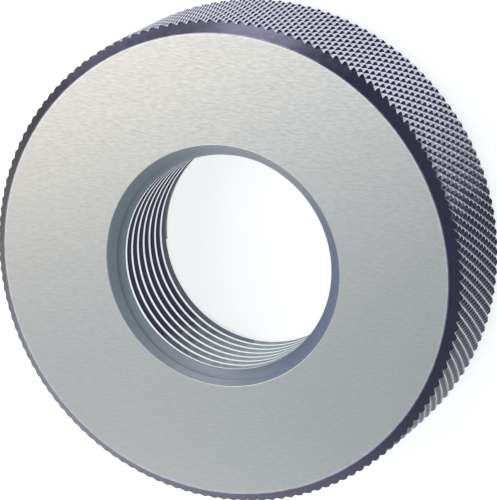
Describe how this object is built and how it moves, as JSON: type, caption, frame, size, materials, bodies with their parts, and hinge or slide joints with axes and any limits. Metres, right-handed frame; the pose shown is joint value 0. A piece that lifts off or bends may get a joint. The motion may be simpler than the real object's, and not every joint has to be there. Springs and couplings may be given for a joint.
{
  "type": "thread ring gauge",
  "caption": "Thick round steel ring with a diamond-knurled rim, ground flat faces, chamfered edges and a countersunk threaded bore, used to check outside screw threads.",
  "frame": {"origin": "centre of the rear face, on the axis of the bore", "axes": "+Z along the axis of the bore, from the rear face to the front face"},
  "size_m": [0.063, 0.063, 0.018],
  "materials": {
    "hardened_steel": "ground flat faces, turned chamfers, diamond-knurled rim"
  },
  "bodies": {
    "root": {"gauge_ring": "hardened_steel"}
  },
  "joints": []
}
